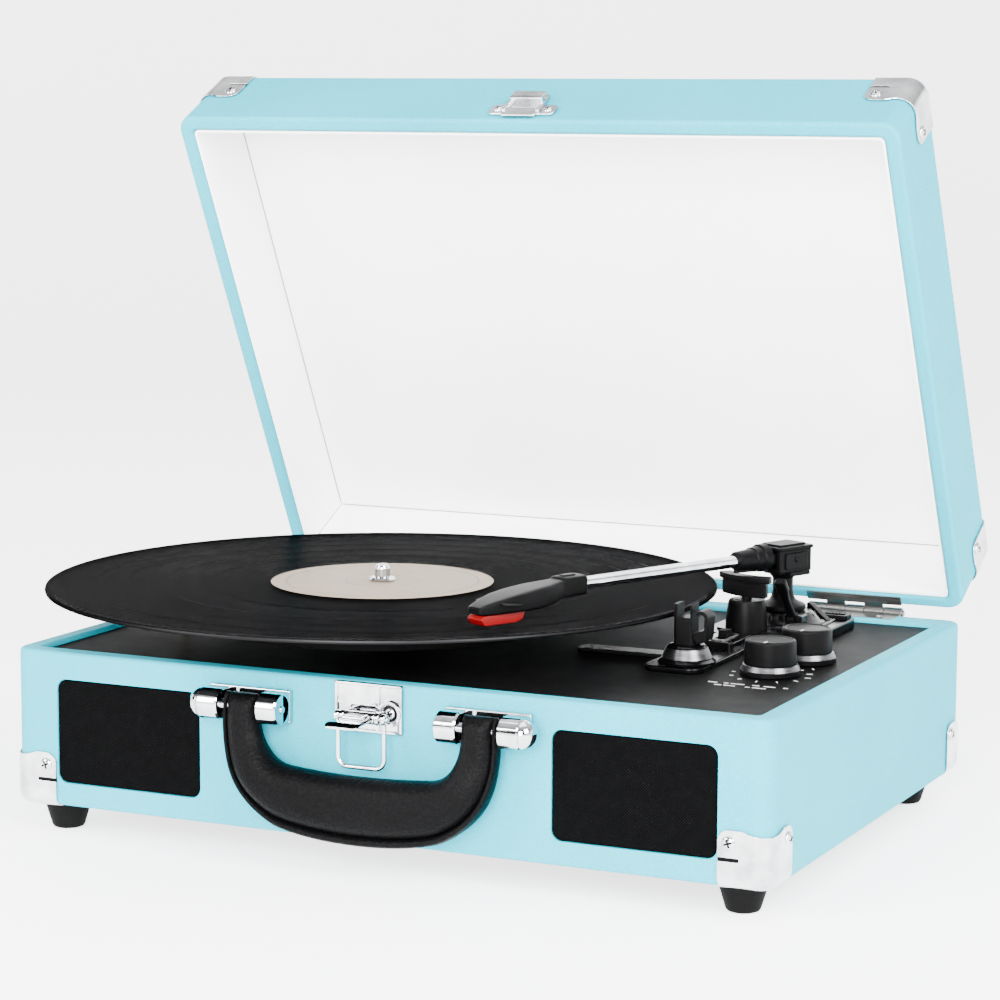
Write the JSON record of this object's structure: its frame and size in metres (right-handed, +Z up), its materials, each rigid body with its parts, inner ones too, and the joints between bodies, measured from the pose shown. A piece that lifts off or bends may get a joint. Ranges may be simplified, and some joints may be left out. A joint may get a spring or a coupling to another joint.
{
  "type": "suitcase turntable record player",
  "caption": "Portable suitcase record player: hinged padded lid stood open, belt-driven platter with a disc, swinging tonearm, two knobs, front speakers, carry handle and draw latch.",
  "frame": {"origin": "centre of the bounding box at floor level, on the undersides of the four feet; the lid is stood open", "axes": "+X to the right of someone facing the handle and speakers, +Y from the handle side back to the hinged side, +Z up"},
  "size_m": [0.3804, 0.3282, 0.3288],
  "materials": {
    "leatherette": "turquoise blue embossed leatherette over a wooden box, satin",
    "lining": "off-white smooth lining paper cloth inside the lid, matt",
    "black_board": "black semi-gloss deck plate",
    "black_plastic": "black moulded plastic, satin",
    "black_rubber": "black rubber, matt",
    "handle_black": "black grained leather-look moulding with a welted edge",
    "speaker_cloth": "black woven speaker cloth on a flat frame",
    "chrome": "polished chrome plate",
    "nickel": "nickel-plated pressed steel",
    "vinyl": "glossy black grooved disc",
    "label_paper": "beige paper label with a dark ring line",
    "felt": "dark felt",
    "stylus_red": "translucent red plastic",
    "motor_steel": "plain steel",
    "board_green": "green circuit board",
    "brass": "turned brass"
  },
  "bodies": {
    "base": {"base_case": "leatherette", "deck_plate": "black_board", "bottom_panel": "black_board", "foot_front_left": "black_rubber", "foot_front_right": "black_rubber", "foot_rear_left": "black_rubber", "foot_rear_right": "black_rubber", "base_corner_front_left": "chrome", "base_corner_front_right": "chrome", "base_corner_rear_left": "chrome", "base_corner_rear_right": "chrome", "speaker_grille_left": "speaker_cloth", "speaker_grille_right": "speaker_cloth", "speaker_driver_left": "black_plastic", "speaker_driver_right": "black_plastic", "circuit_board": "board_green", "rear_socket_panel": "black_plastic", "spindle_bearing": "brass", "drive_belt": "black_rubber", "motor": "motor_steel", "tonearm_base": "black_plastic", "tonearm_rest": "black_plastic", "handle_bracket_left": "chrome", "handle_bracket_right": "chrome", "latch_plate": "chrome", "hinge_base_leaf_left": "nickel", "hinge_base_leaf_right": "nickel"},
    "lid": {"lid_case": "leatherette", "lid_liner": "lining", "lid_corner_front_left": "chrome", "lid_corner_front_right": "chrome", "lid_corner_rear_left": "chrome", "lid_corner_rear_right": "chrome", "lid_catch": "chrome", "hinge_lid_leaf_left": "nickel", "hinge_lid_leaf_right": "nickel"},
    "platter": {"platter": "black_plastic", "spindle": "chrome", "slip_mat": "felt", "record": "vinyl", "record_label": "label_paper"},
    "motor_pulley": {"motor_pulley": "brass"},
    "tonearm_yoke": {"tonearm_column": "black_plastic", "tonearm_hood": "black_plastic"},
    "tonearm": {"tonearm_collar": "black_plastic", "tonearm_tube": "chrome", "headshell": "black_plastic", "stylus_holder": "stylus_red"},
    "cue_lift_bar": {"cue_lift_bar": "black_plastic"},
    "cue_lever": {"cue_lever": "black_plastic"},
    "rest_clip": {"rest_clip": "black_plastic"},
    "volume_knob": {"volume_knob": "black_plastic"},
    "mode_knob": {"mode_knob": "black_plastic"},
    "speed_selector": {"speed_selector": "black_plastic"},
    "auto_stop_switch": {"auto_stop_switch": "black_plastic"},
    "handle_grip": {"handle_grip": "handle_black"},
    "latch_lever": {"latch_lever": "chrome"},
    "latch_wire": {"latch_wire": "chrome"}
  },
  "joints": [
    {"name": "lid_hinge", "type": "hinge", "parent": "base", "child": "lid", "pos_m": [0.0141, 0.1261, 0.081], "axis": [-1, 0, 0], "range_deg": [0, 42]},
    {"name": "handle_swing", "type": "hinge", "parent": "base", "child": "handle_grip", "pos_m": [0.0141, -0.1378, 0.0675], "axis": [-1, 0, 0], "range_deg": [0, 110]},
    {"name": "latch_lever_fold", "type": "hinge", "parent": "base", "child": "latch_lever", "pos_m": [0.0141, -0.1363, 0.0674], "axis": [1, 0, 0], "range_deg": [0, 100]},
    {"name": "latch_wire_swing", "type": "hinge", "parent": "base", "child": "latch_wire", "pos_m": [0.0141, -0.1363, 0.0674], "axis": [-1, 0, 0], "range_deg": [0, 175]},
    {"name": "platter_spin", "type": "hinge", "parent": "base", "child": "platter", "pos_m": [-0.0399, -0.0138, 0.093], "axis": [0, 0, 1], "continuous": true},
    {"name": "motor_pulley_spin", "type": "hinge", "parent": "base", "child": "motor_pulley", "pos_m": [-0.11881, -0.05274, 0.088], "axis": [0, 0, 1], "continuous": true},
    {"name": "tonearm_yaw", "type": "hinge", "parent": "base", "child": "tonearm_yoke", "pos_m": [0.1226, 0.0637, 0.1147], "axis": [0, 0, 1], "range_deg": [-25, 19]},
    {"name": "tonearm_lift", "type": "hinge", "parent": "tonearm_yoke", "child": "tonearm", "pos_m": [0.1226, 0.0637, 0.1147], "axis": [-0.9205, 0.3907, 0], "range_deg": [0, 6]},
    {"name": "cue_lever_turn", "type": "hinge", "parent": "base", "child": "cue_lever", "pos_m": [0.1316, 0.0527, 0.0878], "axis": [-1, 0, 0], "range_deg": [0, 30]},
    {"name": "cue_lift", "type": "slide", "parent": "base", "child": "cue_lift_bar", "axis": [0, 0, 1], "range_m": [0, 0.0032]},
    {"name": "rest_clip_turn", "type": "hinge", "parent": "base", "child": "rest_clip", "pos_m": [0.1235, -0.0353, 0.0941], "axis": [0, 1, 0], "range_deg": [0, 60]},
    {"name": "volume_turn", "type": "hinge", "parent": "base", "child": "volume_knob", "pos_m": [0.1521, -0.0313, 0.083], "axis": [0, 0, 1], "range_deg": [-150, 150]},
    {"name": "mode_turn", "type": "hinge", "parent": "base", "child": "mode_knob", "pos_m": [0.1561, 0.0022, 0.083], "axis": [0, 0, 1], "range_deg": [-30, 30]},
    {"name": "speed_slide", "type": "slide", "parent": "base", "child": "speed_selector", "axis": [0, 1, 0], "range_m": [-0.0045, 0.0045]},
    {"name": "auto_stop_slide", "type": "slide", "parent": "base", "child": "auto_stop_switch", "axis": [1, 0, 0], "range_m": [-0.0025, 0.0025]}
  ],
  "couplings": [
    {"joint": "motor_pulley_spin", "follows": "platter_spin", "ratio": 16},
    {"joint": "tonearm_lift", "follows": "cue_lever_turn", "ratio": 0.2},
    {"joint": "cue_lift", "follows": "cue_lever_turn", "m_per_rad": 0.0061}
  ]
}
